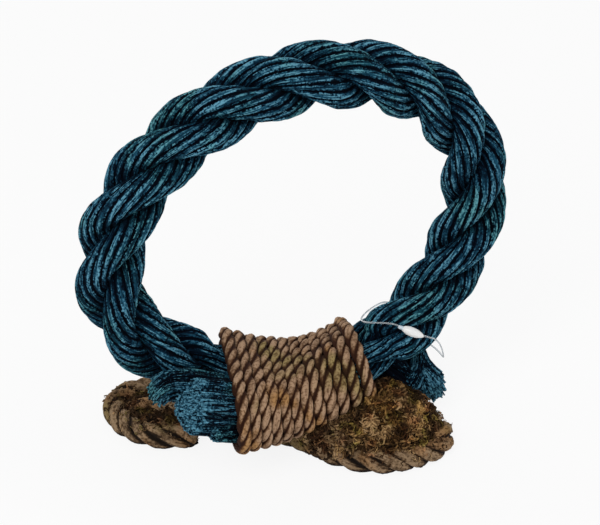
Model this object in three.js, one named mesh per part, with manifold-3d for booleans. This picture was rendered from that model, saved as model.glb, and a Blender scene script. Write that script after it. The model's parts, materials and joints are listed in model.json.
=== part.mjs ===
// A standing rope ring: a hoop of thick three-strand rope whose ends are lapped and lashed together
// with thin cord. The lashing stands on a foot of brown cord, laid in two lobes like a bow, and a
// mound of loose tow is pressed into the right lobe. A clear plastic tag loop hangs on the hoop.
// Millimetres, +Z up. The hoop faces -Y, and the origin is on the floor under the lashing, at the
// middle of the foot cord's front run.
import * as THREE from 'three';
import { mergeVertices } from 'three/addons/utils/BufferGeometryUtils.js';
import Module from 'manifold-3d';

const wasm = await Module();
wasm.setup();
const degrees = THREE.MathUtils.degToRad;

// Driving dimensions, in millimetres and degrees
const CLEARANCE = 0.3; // between neighbours that bear on each other

const HOOP_HALF_WIDTH = 64.8; // rope centreline, along the oval's long axis
const HOOP_HALF_HEIGHT = 54.4;
const HOOP_LEAN = 9.9; // the oval's right side is this much higher
const HOOP_FORWARD = 4; // the hoop's bottom stands this much in front of its top
const HOOP_TAPER = 0.105; // the oval's lower half narrows towards the bottom by this share
const HOOP_X = 9.8; // hoop centre from the origin, across
const HOOP_Y = 3.9; // and backwards

const STRAND_COUNT = 3;
const STRAND_DIAMETER = 9.75;
const LAY_LENGTH = 64; // one turn of a strand round the rope, right-handed
const LAY_START = 27; // where the first strand starts
const LAY_EASE = 20; // how far the lay lags where the rope comes down to the lashing
const LAY_EASE_FROM = 143; // where it begins to lag, from the back end
const LAY_EASE_TO = 70;
const SQUEEZE_MIDDLE = 0.57; // rope under the lashing's middle, as a share of its free size
const SQUEEZE_ENDS = 0.74; // and under the lashing's ends
const SQUEEZE_FADE = 14; // length over which it swells again, past the lashing
const FRAY_LENGTH = 16; // frayed stretch at each end
const FRONT_FRAY_SPREAD = 1.12; // strands' distance from the rope's centre, at the front tail's end
const FRONT_FRAY_SWELL = 1.06; // strands' thickness there
const BACK_FRAY_SPREAD = 0.8; // the back tail's end is pinched
const BACK_FRAY_SWELL = 0.8;
const CORE_WIRE_DIAMETER = 1.6;
const CORE_WIRE_SETBACK = 9; // wire's ends, inside the frayed rope ends

const FRONT_TAIL_ANGLE = 28; // hoop angle, from the bottom, where the front tail begins
const FRONT_TAIL_EASE = 0.6; // share of a tail's reach over which it still goes the hoop's way
const FRONT_TAIL_REACH = 49; // its end, to the left of the hoop's centre
const FRONT_TAIL_FORWARD = 18.5; // in front of it
const FRONT_TAIL_RISE = 8; // and above the level of the oval's short axis end
const FRONT_TAIL_AIM = new THREE.Vector3(-1, 0.1, 0.3);
const BACK_TAIL_ANGLE = 42;
const BACK_TAIL_EASE = 0.4;
const BACK_TAIL_REACH = 38.2; // the back tail's end, to the right of the hoop's centre
const BACK_TAIL_BACK = 5.1; // behind it
const BACK_TAIL_DROP = 2.4; // and below the level of the oval's short axis end
const BACK_TAIL_AIM = new THREE.Vector3(1, -0.1, 0.6);

const LASHING_CORD = 3.7; // cord diameter
const LASHING_TURNS = 12;
const LASHING_PITCH = 4.34;
const LASHING_MIDDLE = -2; // middle of the turns, across from the hoop's centre
const LASHING_SKEW = 0.3; // the turns' front leads to the left by this share of their depth
const LASHING_SLACK = 1.255; // room for ropes that cross the turns at a slant
const LASHING_LEAN_LEFT = 3; // how far the turns' tops lean to the left, at the left end
const LASHING_LEAN_RIGHT = 16; // and at the right end, where the hoop rises

const FOOT_CORD = 7.6;
const FOOT_FLAT = 0.76; // depth of the flat worn under the cord
const FOOT_HALF_LENGTH = 58; // centre to the end of a lobe
const FOOT_BULGE_LEFT = 20; // widens the left lobe
const FOOT_LEFT_BEND = 4; // how far back the left lobe's end is bent
const FOOT_LEFT_SQUARE = 0.72; // below 1, squares the left lobe's end
const FOOT_BULGE_RIGHT = 22.5;
const FOOT_WAIST = 4.6; // half the distance between the two runs under the lashing
const FOOT_TURN = -33.5; // the foot's long axis from the hoop's plane
const FOOT_START = 70; // start of the cord past the left end, as an angle round the foot
const FOOT_END_ALONG = -49; // where the cord's other end lies inside the left lobe
const FOOT_END_ACROSS = 2.5;

const MOUND_ALONG = 32; // centre of the mound on the foot's long axis
const MOUND_ACROSS = 5;
const MOUND_HALF_LENGTH = 24;
const MOUND_HALF_WIDTH = 15.5;
const MOUND_HEIGHT = 18;

const TAG_ANGLE = 31; // hoop angle, from the bottom, where the tag loop hangs
const TAG_FILAMENT = 0.6;
const TAG_SLACK = 1; // straight sides of the loop
const TAG_TILT = 27; // the loop's slack side leans up along the hoop
const TAG_LOCK_ANGLE = 55; // the lock, from the loop's inmost point towards the front
const LOCK_LENGTH = 9.4;
const LOCK_DIAMETER = 3.3;
const LOCK_NECK_LENGTH = 2.2;
const LOCK_NECK_DIAMETER = 1.4;

// Sides and steps of the swept tubes
const STRAND_SIDES = 8;
const STEPS_PER_LAY = 14;
const TURN_STEPS = 24;
const TURN_SIDES = 6;
const FOOT_SIDES = 10;
const FOOT_STEPS = 104;
const WIRE_SIDES = 6;
const WIRE_STEPS = 72;
const FILAMENT_SIDES = 6;
const FILAMENT_STEPS = 46;

const UP = new THREE.Vector3(0, 0, 1);
const BACK = new THREE.Vector3(0, 1, 0);
const RIGHT = new THREE.Vector3(1, 0, 0);

// A closed tube along points, with one radius for each point and flat ends.
// With a floor height, whatever would reach lower is flattened there.
function sweep(points, radii, sides, floor = -Infinity) {
  const position = [];
  const index = [];
  const last = points.length - 1;
  const side = new THREE.Vector3();
  const across = new THREE.Vector3();
  points.forEach((point, i) => {
    const along = points[Math.min(i + 1, last)].clone().sub(points[Math.max(i - 1, 0)]).normalize();
    if (i === 0) side.crossVectors(along, Math.abs(along.z) < 0.9 ? UP : BACK);
    side.addScaledVector(along, -side.dot(along)).normalize();
    across.crossVectors(along, side);
    for (let k = 0; k < sides; k++) {
      const angle = (2 * Math.PI * k) / sides;
      const corner = point.clone()
        .addScaledVector(side, radii[i] * Math.cos(angle))
        .addScaledVector(across, radii[i] * Math.sin(angle));
      position.push(corner.x, corner.y, Math.max(corner.z, floor));
    }
    if (i === last) return;
    for (let k = 0; k < sides; k++) {
      const here = i * sides + k;
      const next = i * sides + ((k + 1) % sides);
      index.push(here, next, here + sides, next, next + sides, here + sides);
    }
  });
  for (let k = 1; k < sides - 1; k++) {
    index.push(0, k + 1, k, last * sides, last * sides + k, last * sides + k + 1);
  }
  const geometry = new THREE.BufferGeometry();
  geometry.setAttribute('position', new THREE.Float32BufferAttribute(position, 3));
  geometry.setIndex(index);
  return geometry;
}

const evenRadii = (points, diameter) => points.map(() => diameter / 2);

// Points spaced evenly along a polyline, with the distance travelled at each.
function respace(points, steps) {
  const travelled = [0];
  for (let i = 1; i < points.length; i++) travelled.push(travelled[i - 1] + points[i].distanceTo(points[i - 1]));
  const total = travelled[travelled.length - 1];
  const even = [];
  let k = 1;
  for (let i = 0; i <= steps; i++) {
    const want = (total * i) / steps;
    while (k < points.length - 1 && travelled[k] < want) k++;
    const share = (want - travelled[k - 1]) / (travelled[k] - travelled[k - 1]);
    even.push(points[k - 1].clone().lerp(points[k], share));
  }
  return { points: even, total };
}

// The least gap of a tube to itself, between points at least `apart` steps away from each other.
function leastGap(points, apart, diameter) {
  let least = Infinity;
  for (let i = 0; i < points.length; i++) {
    for (let j = i + apart; j < points.length; j++) least = Math.min(least, points[i].distanceTo(points[j]));
  }
  return least - diameter;
}

// Solids for cutting
function toSolid(geometry) {
  const bare = new THREE.BufferGeometry();
  bare.setAttribute('position', geometry.getAttribute('position'));
  bare.setIndex(geometry.getIndex());
  const merged = mergeVertices(bare, 1e-4);
  return new wasm.Manifold(new wasm.Mesh({
    numProp: 3,
    vertProperties: new Float32Array(merged.getAttribute('position').array),
    triVerts: new Uint32Array(merged.getIndex().array),
  }));
}

function toGeometry(solid) {
  const mesh = solid.getMesh();
  const geometry = new THREE.BufferGeometry();
  geometry.setAttribute('position', new THREE.BufferAttribute(mesh.vertProperties, 3));
  geometry.setIndex(new THREE.BufferAttribute(mesh.triVerts, 1));
  return geometry;
}

// Ring rope: how far the strands lie from the rope's centre so that they just clear each other
// where the hoop bends most, on the inside of the bend.
function strandDistance(orbit, lay) {
  let least = Infinity;
  for (let turn = -0.5; turn <= 0; turn += 0.005) {
    const angle = 2 * Math.PI * (turn + 1 / STRAND_COUNT);
    least = Math.min(least, Math.hypot(2 * orbit * Math.sin(angle / 2), lay * turn));
  }
  return least;
}

function packedOrbit() {
  const tightest = HOOP_HALF_HEIGHT ** 2 / HOOP_HALF_WIDTH;
  let low = STRAND_DIAMETER / 2;
  let high = STRAND_DIAMETER * 1.5;
  for (let i = 0; i < 40; i++) {
    const orbit = (low + high) / 2;
    const room = strandDistance(orbit, LAY_LENGTH * (1 - orbit / tightest));
    if (room < STRAND_DIAMETER + CLEARANCE) low = orbit;
    else high = orbit;
  }
  return high;
}

const STRAND_ORBIT = packedOrbit();
const ROPE_RADIUS = STRAND_ORBIT + STRAND_DIAMETER / 2;
const LAP_HALF = SQUEEZE_ENDS * ROPE_RADIUS + CLEARANCE; // each lapped rope from the lashing's middle

// A point of the hoop's centreline, by the angle from its bottom, from the hoop's own centre.
// The rope starts in front at the bottom and comes round to lie behind itself.
function hoopPoint(angle) {
  const taper = HOOP_TAPER * Math.max(Math.cos(angle), 0) ** 2;
  const across = HOOP_HALF_WIDTH * Math.sin(angle) * (1 - taper);
  const height = -HOOP_HALF_HEIGHT * Math.cos(angle);
  const lean = degrees(HOOP_LEAN);
  return new THREE.Vector3(
    across * Math.cos(lean) - height * Math.sin(lean),
    LAP_HALF * (angle / Math.PI - 1) - (HOOP_FORWARD * (1 + Math.cos(angle)) ** 2) / 4,
    across * Math.sin(lean) + height * Math.cos(lean),
  );
}

function hoopTangent(angle) {
  const step = 0.001;
  return hoopPoint(angle + step).sub(hoopPoint(angle - step)).normalize();
}

// A tail leaves the hoop along its tangent and ends at a point, aimed its own way.
function tailPoints(start, startAim, ease, end, endAim) {
  const reach = start.distanceTo(end);
  const curve = new THREE.CubicBezierCurve3(
    start,
    start.clone().addScaledVector(startAim, reach * ease),
    end.clone().addScaledVector(endAim.clone().normalize(), -reach / 3),
    end,
  );
  return curve.getPoints(60);
}

const FRONT_TAIL_END = new THREE.Vector3(
  -FRONT_TAIL_REACH,
  -FRONT_TAIL_FORWARD,
  FRONT_TAIL_RISE - HOOP_HALF_HEIGHT,
);
const BACK_TAIL_END = new THREE.Vector3(
  BACK_TAIL_REACH,
  BACK_TAIL_BACK,
  -BACK_TAIL_DROP - HOOP_HALF_HEIGHT,
);

const LASHING_HALF = (LASHING_TURNS * LASHING_PITCH) / 2;
const smooth = (x) => THREE.MathUtils.smoothstep(x, 0, 1);

// How thick the rope is under and beside the lashing: most drawn in under its middle, and swollen
// to its free size past its ends.
function squeeze(x) {
  const half = LASHING_HALF + LASHING_CORD;
  const off = Math.abs(x - LASHING_MIDDLE);
  if (off < half) return SQUEEZE_MIDDLE + (SQUEEZE_ENDS - SQUEEZE_MIDDLE) * (off / half) ** 2;
  return SQUEEZE_ENDS + (1 - SQUEEZE_ENDS) * smooth((off - half) / SQUEEZE_FADE);
}

const ropeScale = (point) => (point.z < hoopPoint(degrees(60)).z ? squeeze(point.x) : 1);

// The lashing draws the lapped ropes together, by as much as it thins them.
function drawIn(point, way) {
  const thinned = Math.max(SQUEEZE_ENDS - ropeScale(point), 0) * ROPE_RADIUS;
  return point.clone().addScaledVector(BACK, way * thinned);
}

function ropePath() {
  const from = degrees(FRONT_TAIL_ANGLE);
  const to = 2 * Math.PI - degrees(BACK_TAIL_ANGLE);
  const away = hoopTangent(from).negate();
  const front = tailPoints(hoopPoint(from), away, FRONT_TAIL_EASE, FRONT_TAIL_END, FRONT_TAIL_AIM);
  front.reverse();
  const back = tailPoints(hoopPoint(to), hoopTangent(to), BACK_TAIL_EASE, BACK_TAIL_END, BACK_TAIL_AIM);
  const arc = [];
  const arcSteps = 360;
  for (let i = 1; i < arcSteps; i++) arc.push(hoopPoint(from + ((to - from) * i) / arcSteps));
  const lap = arcSteps / 6; // steps of the arc that may lie under the lashing, at each end
  const inFront = [...front, ...arc.slice(0, lap)].map((point) => drawIn(point, 1));
  const behind = [...arc.slice(-lap), ...back].map((point) => drawIn(point, -1));
  return { line: [...inFront, ...arc.slice(lap, -lap), ...behind], front: inFront, back: behind };
}

const route = ropePath();

// What fraying makes of a size near an end, by the distance from that end.
const frayed = (share, fromEnd) => 1 + (share - 1) * smooth(1 - fromEnd / FRAY_LENGTH);

function ringStrand(number) {
  const lays = respace(route.line, 1).total / LAY_LENGTH;
  const { points, total } = respace(route.line, Math.round(lays * STEPS_PER_LAY));
  const last = points.length - 1;
  const centres = [];
  const radii = [];
  points.forEach((point, i) => {
    const along = points[Math.min(i + 1, last)].clone().sub(points[Math.max(i - 1, 0)]).normalize();
    const inward = new THREE.Vector3().crossVectors(along, BACK).normalize();
    const behind = new THREE.Vector3().crossVectors(inward, along);
    const place = (total * i) / last;
    const spread = frayed(FRONT_FRAY_SPREAD, place) * frayed(BACK_FRAY_SPREAD, total - place);
    const swell = frayed(FRONT_FRAY_SWELL, place) * frayed(BACK_FRAY_SWELL, total - place);
    const scale = ropeScale(point);
    const orbit = STRAND_ORBIT * scale * spread;
    const lag = LAY_EASE * smooth((place - total + LAY_EASE_FROM) / (LAY_EASE_FROM - LAY_EASE_TO));
    const laid = number / STRAND_COUNT - (place - lag) / LAY_LENGTH;
    const turn = degrees(LAY_START) + 2 * Math.PI * laid;
    centres.push(point.clone()
      .addScaledVector(inward, orbit * Math.cos(turn))
      .addScaledVector(behind, orbit * Math.sin(turn)));
    radii.push((STRAND_DIAMETER / 2) * scale * swell);
  });
  return sweep(centres, radii, STRAND_SIDES);
}

function coreWire() {
  const { points, total } = respace(route.line, 400);
  const keep = Math.round((CORE_WIRE_SETBACK / total) * 400);
  const wire = respace(points.slice(keep, -keep), WIRE_STEPS).points;
  return sweep(wire, evenRadii(wire, CORE_WIRE_DIAMETER), WIRE_SIDES);
}

// The rope's outside, with some room round it, for cutting what is pressed against it.
function ropeEnvelope(points, room) {
  const { points: even } = respace(points, 40);
  return sweep(even, even.map((point) => {
    const front = frayed(FRONT_FRAY_SPREAD, point.distanceTo(FRONT_TAIL_END));
    const back = frayed(BACK_FRAY_SPREAD, point.distanceTo(BACK_TAIL_END));
    return ropeScale(point) * ROPE_RADIUS * front * back + room;
  }), 16);
}

// Lashing: turns round both ropes. Each turn is the outline of two circles, one round each rope.
function pointAtX(points, x) {
  for (let i = 1; i < points.length; i++) {
    const a = points[i - 1];
    const b = points[i];
    if ((a.x - x) * (b.x - x) <= 0) return a.clone().lerp(b, (x - a.x) / (b.x - a.x || 1));
  }
  throw new Error('the lashing reaches past a rope end');
}

function lashingOutline(x, share, room) {
  const lead = LASHING_SKEW * LAP_HALF;
  const thickest = Math.max(squeeze(x - lead), squeeze(x + lead)) * ROPE_RADIUS;
  const radius = thickest * LASHING_SLACK + CLEARANCE + room;
  const front = pointAtX(route.front, x - lead);
  const behind = pointAtX(route.back, x + lead);
  const span = behind.clone().sub(front);
  const length = span.length();
  const depth = span.normalize();
  const partWay = (1 + (x - LASHING_MIDDLE) / LASHING_HALF) / 2;
  const lean = THREE.MathUtils.lerp(LASHING_LEAN_LEFT, LASHING_LEAN_RIGHT, partWay);
  const upward = UP.clone().addScaledVector(RIGHT, -Math.tan(degrees(lean)));
  const height = upward.clone().addScaledVector(depth, -upward.dot(depth)).normalize();
  const arc = Math.PI * radius;
  const round = 2 * (arc + length);
  // Starts in the middle of the underside and goes forwards, up, back and down.
  let place = (((share % 1) + 1) % 1) * round;
  const on = (centre, turn) => centre.clone()
    .addScaledVector(depth, -radius * Math.sin(turn))
    .addScaledVector(height, -radius * Math.cos(turn));
  const flat = (centre, way, run) => on(centre, way).addScaledVector(depth, run);
  if (place < length / 2) return flat(front, 0, length / 2 - place);
  place -= length / 2;
  if (place < arc) return on(front, place / radius);
  place -= arc;
  if (place < length) return flat(front, Math.PI, place);
  place -= length;
  if (place < arc) return on(behind, Math.PI + place / radius);
  place -= arc;
  return flat(behind, 0, -place);
}

function lashingPath() {
  const points = [];
  const steps = LASHING_TURNS * TURN_STEPS;
  for (let i = 0; i <= steps; i++) {
    const turn = i / TURN_STEPS;
    const x = LASHING_MIDDLE - LASHING_HALF + turn * LASHING_PITCH;
    points.push(lashingOutline(x, turn, LASHING_CORD / 2));
  }
  // Both ends run on straight for one cord diameter, along the underside.
  const first = points[0].clone().sub(points[1]).setLength(LASHING_CORD).add(points[0]);
  const final = points[steps].clone().sub(points[steps - 1]).setLength(LASHING_CORD).add(points[steps]);
  return [first, ...points, final];
}

const lashing = lashingPath();

// The whole lashing as one plain sleeve, for cutting what is pressed against it.
function lashingEnvelope(room) {
  const rings = [];
  const count = 24;
  const ringsAlong = 8;
  for (let i = 0; i <= ringsAlong; i++) {
    const x = LASHING_MIDDLE + (LASHING_HALF + LASHING_CORD) * ((2 * i) / ringsAlong - 1);
    for (let k = 0; k < count; k++) rings.push(lashingOutline(x, k / count, LASHING_CORD + room));
  }
  const index = [];
  for (let i = 0; i < ringsAlong; i++) {
    for (let k = 0; k < count; k++) {
      const here = i * count + k;
      const next = i * count + ((k + 1) % count);
      index.push(here, here + count, next, next, here + count, next + count);
    }
  }
  for (let k = 1; k < count - 1; k++) {
    const end = ringsAlong * count;
    index.push(0, k, k + 1, end, end + k + 1, end + k);
  }
  const geometry = new THREE.BufferGeometry().setFromPoints(rings);
  geometry.setIndex(index);
  return geometry;
}

// Foot: one cord laid in two lobes, drawn in under the lashing. It starts past the left lobe's end,
// goes round the left lobe, along the back, round the right lobe, along the front, and ends inside
// the left lobe.
function footLobes(angle) {
  const sine = Math.sin(angle);
  const cosine = Math.cos(angle);
  const drawnIn = sine ** 11;
  if (cosine >= 0) {
    const across = FOOT_BULGE_RIGHT * sine - (FOOT_BULGE_RIGHT - FOOT_WAIST) * drawnIn;
    return new THREE.Vector2(FOOT_HALF_LENGTH * cosine, across);
  }
  const across = FOOT_BULGE_LEFT * sine - (FOOT_BULGE_LEFT - FOOT_WAIST) * drawnIn;
  const along = -FOOT_HALF_LENGTH * (-cosine) ** FOOT_LEFT_SQUARE;
  return new THREE.Vector2(along, across + FOOT_LEFT_BEND * cosine ** 2);
}

const FOOT_HEIGHT = FOOT_CORD / 2 - FOOT_FLAT; // cord's centre from the floor
const FOOT_ANGLE = degrees(FOOT_TURN);

// From the foot's long axis and its width to the part's own frame: the front run passes the origin.
function footPlace(along, across, height) {
  const width = across + FOOT_WAIST;
  return new THREE.Vector3(
    along * Math.cos(FOOT_ANGLE) - width * Math.sin(FOOT_ANGLE),
    along * Math.sin(FOOT_ANGLE) + width * Math.cos(FOOT_ANGLE),
    height,
  );
}

function footPath() {
  const points = [];
  const start = Math.PI + degrees(FOOT_START);
  const end = -Math.PI / 2;
  const lobeSteps = 300;
  for (let i = 0; i <= lobeSteps; i++) {
    const flat = footLobes(start + ((end - start) * i) / lobeSteps);
    points.push(footPlace(flat.x, flat.y, FOOT_HEIGHT));
  }
  const inside = new THREE.CubicBezierCurve(
    new THREE.Vector2(0, -FOOT_WAIST),
    new THREE.Vector2(FOOT_END_ALONG / 3, -FOOT_WAIST),
    new THREE.Vector2(FOOT_END_ALONG * 0.6, FOOT_END_ACROSS),
    new THREE.Vector2(FOOT_END_ALONG, FOOT_END_ACROSS),
  );
  for (const flat of inside.getPoints(60).slice(1)) points.push(footPlace(flat.x, flat.y, FOOT_HEIGHT));
  return respace(points, FOOT_STEPS);
}

const foot = footPath();

// How high the hoop's centre stands when the lashing rests on the foot.
function standingHeight() {
  const reach = LASHING_CORD / 2 + FOOT_CORD / 2 + CLEARANCE;
  let height = -Infinity;
  for (const above of lashing) {
    for (const below of foot.points) {
      const aside = Math.hypot(above.x + HOOP_X - below.x, above.y + HOOP_Y - below.y);
      if (aside < reach) height = Math.max(height, below.z + Math.sqrt(reach ** 2 - aside ** 2) - above.z);
    }
  }
  return height;
}

const HOOP_CENTRE = new THREE.Vector3(HOOP_X, HOOP_Y, standingHeight());
const inPlace = (geometry) => geometry.translate(HOOP_CENTRE.x, HOOP_CENTRE.y, HOOP_CENTRE.z);

// Mound of loose tow: a low dome in the right lobe, pressed by the cords, ropes and turns round it.
function towMound() {
  const dome = new THREE.SphereGeometry(1, 28, 14);
  dome.rotateX(Math.PI / 2);
  dome.scale(MOUND_HALF_LENGTH, MOUND_HALF_WIDTH, MOUND_HEIGHT);
  dome.rotateZ(FOOT_ANGLE);
  const middle = footPlace(MOUND_ALONG, MOUND_ACROSS, 0);
  dome.translate(middle.x, middle.y, 0);
  const room = 4 * FOOT_HALF_LENGTH;
  const below = new THREE.BoxGeometry(room, room, 2 * MOUND_HEIGHT).translate(0, 0, -MOUND_HEIGHT);
  const cord = sweep(foot.points, evenRadii(foot.points, FOOT_CORD + 2 * CLEARANCE), 12);
  const tail = inPlace(ropeEnvelope(route.back, CLEARANCE));
  const limb = inPlace(ropeEnvelope(route.front, CLEARANCE));
  const turns = inPlace(lashingEnvelope(CLEARANCE));
  let mound = toSolid(dome);
  for (const cutter of [below, cord, tail, limb, turns]) mound = mound.subtract(toSolid(cutter));
  const largest = mound.decompose().sort((a, b) => b.volume() - a.volume())[0];
  return toGeometry(largest);
}

// Tag loop: a flat loop of clear filament round the hoop, closed by its lock. It hangs on the
// hoop's upper side, with its slack below. It hugs the rope behind, and stands off it in front by
// the room that the lock takes.
const TAG_PLACE = degrees(TAG_ANGLE);
const TAG_ROPE = ROPE_RADIUS * ropeScale(hoopPoint(TAG_PLACE));
const ROPE_REACH = TAG_ROPE / Math.cos(degrees(TAG_TILT)) + CLEARANCE; // in the loop's plane
const HUG_INSIDE = ROPE_REACH + TAG_FILAMENT / 2;
const HUG_BEHIND = TAG_ROPE + CLEARANCE + TAG_FILAMENT / 2;
const LOOP_RADIUS = ROPE_REACH + LOCK_DIAMETER / 2 + CLEARANCE;
const LOOP_DROP = LOOP_RADIUS - HUG_INSIDE;

function tagFrame() {
  const along = hoopTangent(TAG_PLACE);
  const outward = new THREE.Vector3().crossVectors(BACK, along).normalize();
  const behind = new THREE.Vector3().crossVectors(along, outward);
  const frame = new THREE.Matrix4().makeBasis(outward, behind, along).setPosition(hoopPoint(TAG_PLACE));
  return frame.multiply(new THREE.Matrix4().makeRotationY(-degrees(TAG_TILT)));
}

const lockTurn = Math.PI + degrees(TAG_LOCK_ANGLE);

function tagFilament() {
  const halfLock = (LOCK_LENGTH / 2 + CLEARANCE) / LOOP_RADIUS;
  const far = LOOP_DROP + TAG_SLACK;
  const loop = new THREE.Path();
  const farRadius = (HUG_BEHIND + LOOP_RADIUS) / 2;
  loop.absarc(LOOP_DROP, 0, LOOP_RADIUS, lockTurn - halfLock, Math.PI, true);
  loop.absellipse(0, 0, HUG_INSIDE, HUG_BEHIND, Math.PI, Math.PI / 2, true);
  loop.lineTo(far, HUG_BEHIND);
  loop.absarc(far, HUG_BEHIND - farRadius, farRadius, Math.PI / 2, -Math.PI / 2, true);
  loop.lineTo(LOOP_DROP, -LOOP_RADIUS);
  loop.absarc(LOOP_DROP, 0, LOOP_RADIUS, 1.5 * Math.PI, lockTurn + halfLock, true);
  const points = loop.getSpacedPoints(FILAMENT_STEPS)
    .map((flat) => new THREE.Vector3(flat.x, flat.y, 0).applyMatrix4(tagFrame()));
  return sweep(points, evenRadii(points, TAG_FILAMENT), FILAMENT_SIDES);
}

// Lock: an oval bead with a short neck, turned about its own axis and laid along the loop.
function tagLock() {
  const half = LOCK_LENGTH / 2;
  const beadStart = LOCK_NECK_LENGTH - half;
  const beadMiddle = (beadStart + half) / 2;
  const profile = new THREE.Path();
  profile.moveTo(0, -half);
  profile.lineTo(LOCK_NECK_DIAMETER / 2, -half);
  profile.lineTo(LOCK_NECK_DIAMETER / 2, beadStart);
  profile.quadraticCurveTo(LOCK_DIAMETER / 2, beadStart, LOCK_DIAMETER / 2, beadMiddle);
  profile.quadraticCurveTo(LOCK_DIAMETER / 2, half, 0, half);
  const lock = new THREE.LatheGeometry(profile.getPoints(5), 12);
  lock.rotateZ(lockTurn);
  lock.translate(LOOP_DROP + LOOP_RADIUS * Math.cos(lockTurn), LOOP_RADIUS * Math.sin(lockTurn), 0);
  return lock.applyMatrix4(tagFrame());
}

// Finishes
const teal = new THREE.MeshStandardMaterial({ color: 0x1d5566, roughness: 0.85, metalness: 0 });
const steel = new THREE.MeshStandardMaterial({ color: 0x9a9c9e, roughness: 0.4, metalness: 1 });
const tan = new THREE.MeshStandardMaterial({ color: 0x8a6b4c, roughness: 0.9, metalness: 0 });
const umber = new THREE.MeshStandardMaterial({ color: 0x70563a, roughness: 0.95, metalness: 0 });
const clear = new THREE.MeshStandardMaterial({ color: 0xd8dde0, roughness: 0.25, metalness: 0 });
const white = new THREE.MeshStandardMaterial({ color: 0xf4f4f2, roughness: 0.35, metalness: 0 });

function piece(name, geometry, material) {
  const mesh = new THREE.Mesh(geometry, material);
  mesh.name = name;
  return mesh;
}

const hoop = new THREE.Group();
hoop.position.copy(HOOP_CENTRE);
for (let i = 0; i < STRAND_COUNT; i++) hoop.add(piece(`ring_strand_${i + 1}`, ringStrand(i), teal));
hoop.add(piece('core_wire', coreWire(), steel));
hoop.add(piece('lashing_cord', sweep(lashing, evenRadii(lashing, LASHING_CORD), TURN_SIDES), tan));
hoop.add(piece('tag_filament', tagFilament(), clear));
hoop.add(piece('tag_lock', tagLock(), white));

const part = new THREE.Group();
part.add(hoop);
part.add(piece('foot_cord', sweep(foot.points, evenRadii(foot.points, FOOT_CORD), FOOT_SIDES, 0), tan));
part.add(piece('tow_mound', towMound(), umber));

const pin = new THREE.Vector3().setFromMatrixPosition(tagFrame()).add(HOOP_CENTRE);
const mm = (vector) => vector.toArray().map((value) => value.toFixed(3)).join(', ');
console.log(`lashing, least gap to itself: ${leastGap(lashing, TURN_STEPS / 2, LASHING_CORD).toFixed(2)} mm`);
console.log(`foot cord, least gap to itself: ${leastGap(foot.points, 12, FOOT_CORD).toFixed(2)} mm`);
console.log(`rope ${(2 * ROPE_RADIUS).toFixed(2)} mm thick, ${respace(route.line, 1).total.toFixed(0)} mm long`);
console.log(`foot cord ${foot.total.toFixed(0)} mm long, lashing ${respace(lashing, 1).total.toFixed(0)} mm long`);
console.log(`hoop centre ${mm(HOOP_CENTRE)}; tag swings about ${mm(hoopTangent(TAG_PLACE))} at ${mm(pin)}`);

export default part;
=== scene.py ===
import json
import math

import bpy
import numpy as np
from mathutils import Matrix, Vector


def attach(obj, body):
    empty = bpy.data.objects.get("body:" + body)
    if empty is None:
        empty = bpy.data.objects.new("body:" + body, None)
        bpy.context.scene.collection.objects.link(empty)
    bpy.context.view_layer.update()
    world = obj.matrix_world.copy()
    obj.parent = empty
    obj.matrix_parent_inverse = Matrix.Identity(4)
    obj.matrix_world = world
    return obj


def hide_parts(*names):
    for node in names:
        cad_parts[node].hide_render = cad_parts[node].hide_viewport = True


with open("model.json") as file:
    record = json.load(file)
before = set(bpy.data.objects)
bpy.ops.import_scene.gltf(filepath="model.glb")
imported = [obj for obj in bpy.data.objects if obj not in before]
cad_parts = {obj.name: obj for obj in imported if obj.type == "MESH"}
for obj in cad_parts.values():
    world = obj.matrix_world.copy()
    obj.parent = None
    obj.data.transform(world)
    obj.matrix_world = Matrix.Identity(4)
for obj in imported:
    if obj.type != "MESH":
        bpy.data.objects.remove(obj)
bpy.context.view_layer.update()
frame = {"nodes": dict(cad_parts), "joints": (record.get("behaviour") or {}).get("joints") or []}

# Studio: the ring stands on a white sweep in a pale room, under a large soft lamp high on the left
# and weaker ones on the right and behind. The camera looks down from in front and the left.
CAMERA_PLACE = Vector((-0.26306, -0.58383, 0.47003))
CAMERA_AIM = Vector((0.35974, 0.76941, -0.52782))
CAMERA_LENS = 137.16
FLOOR_SIZE = 12
FLOOR_GLOW = 0.88  # how much of the floor is plain white to the camera, over its soft shadow
ROOM_LIGHT = 0.42
LAMPS = {
    "key_lamp": {"place": (-0.75, -0.75, 1.15), "size": 0.7, "power": 10.0},
    "fill_lamp": {"place": (1.1, -0.6, 0.7), "size": 0.9, "power": 2.6},
    "back_lamp": {"place": (0.1, 1.1, 0.9), "size": 0.9, "power": 2.4},
}


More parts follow.
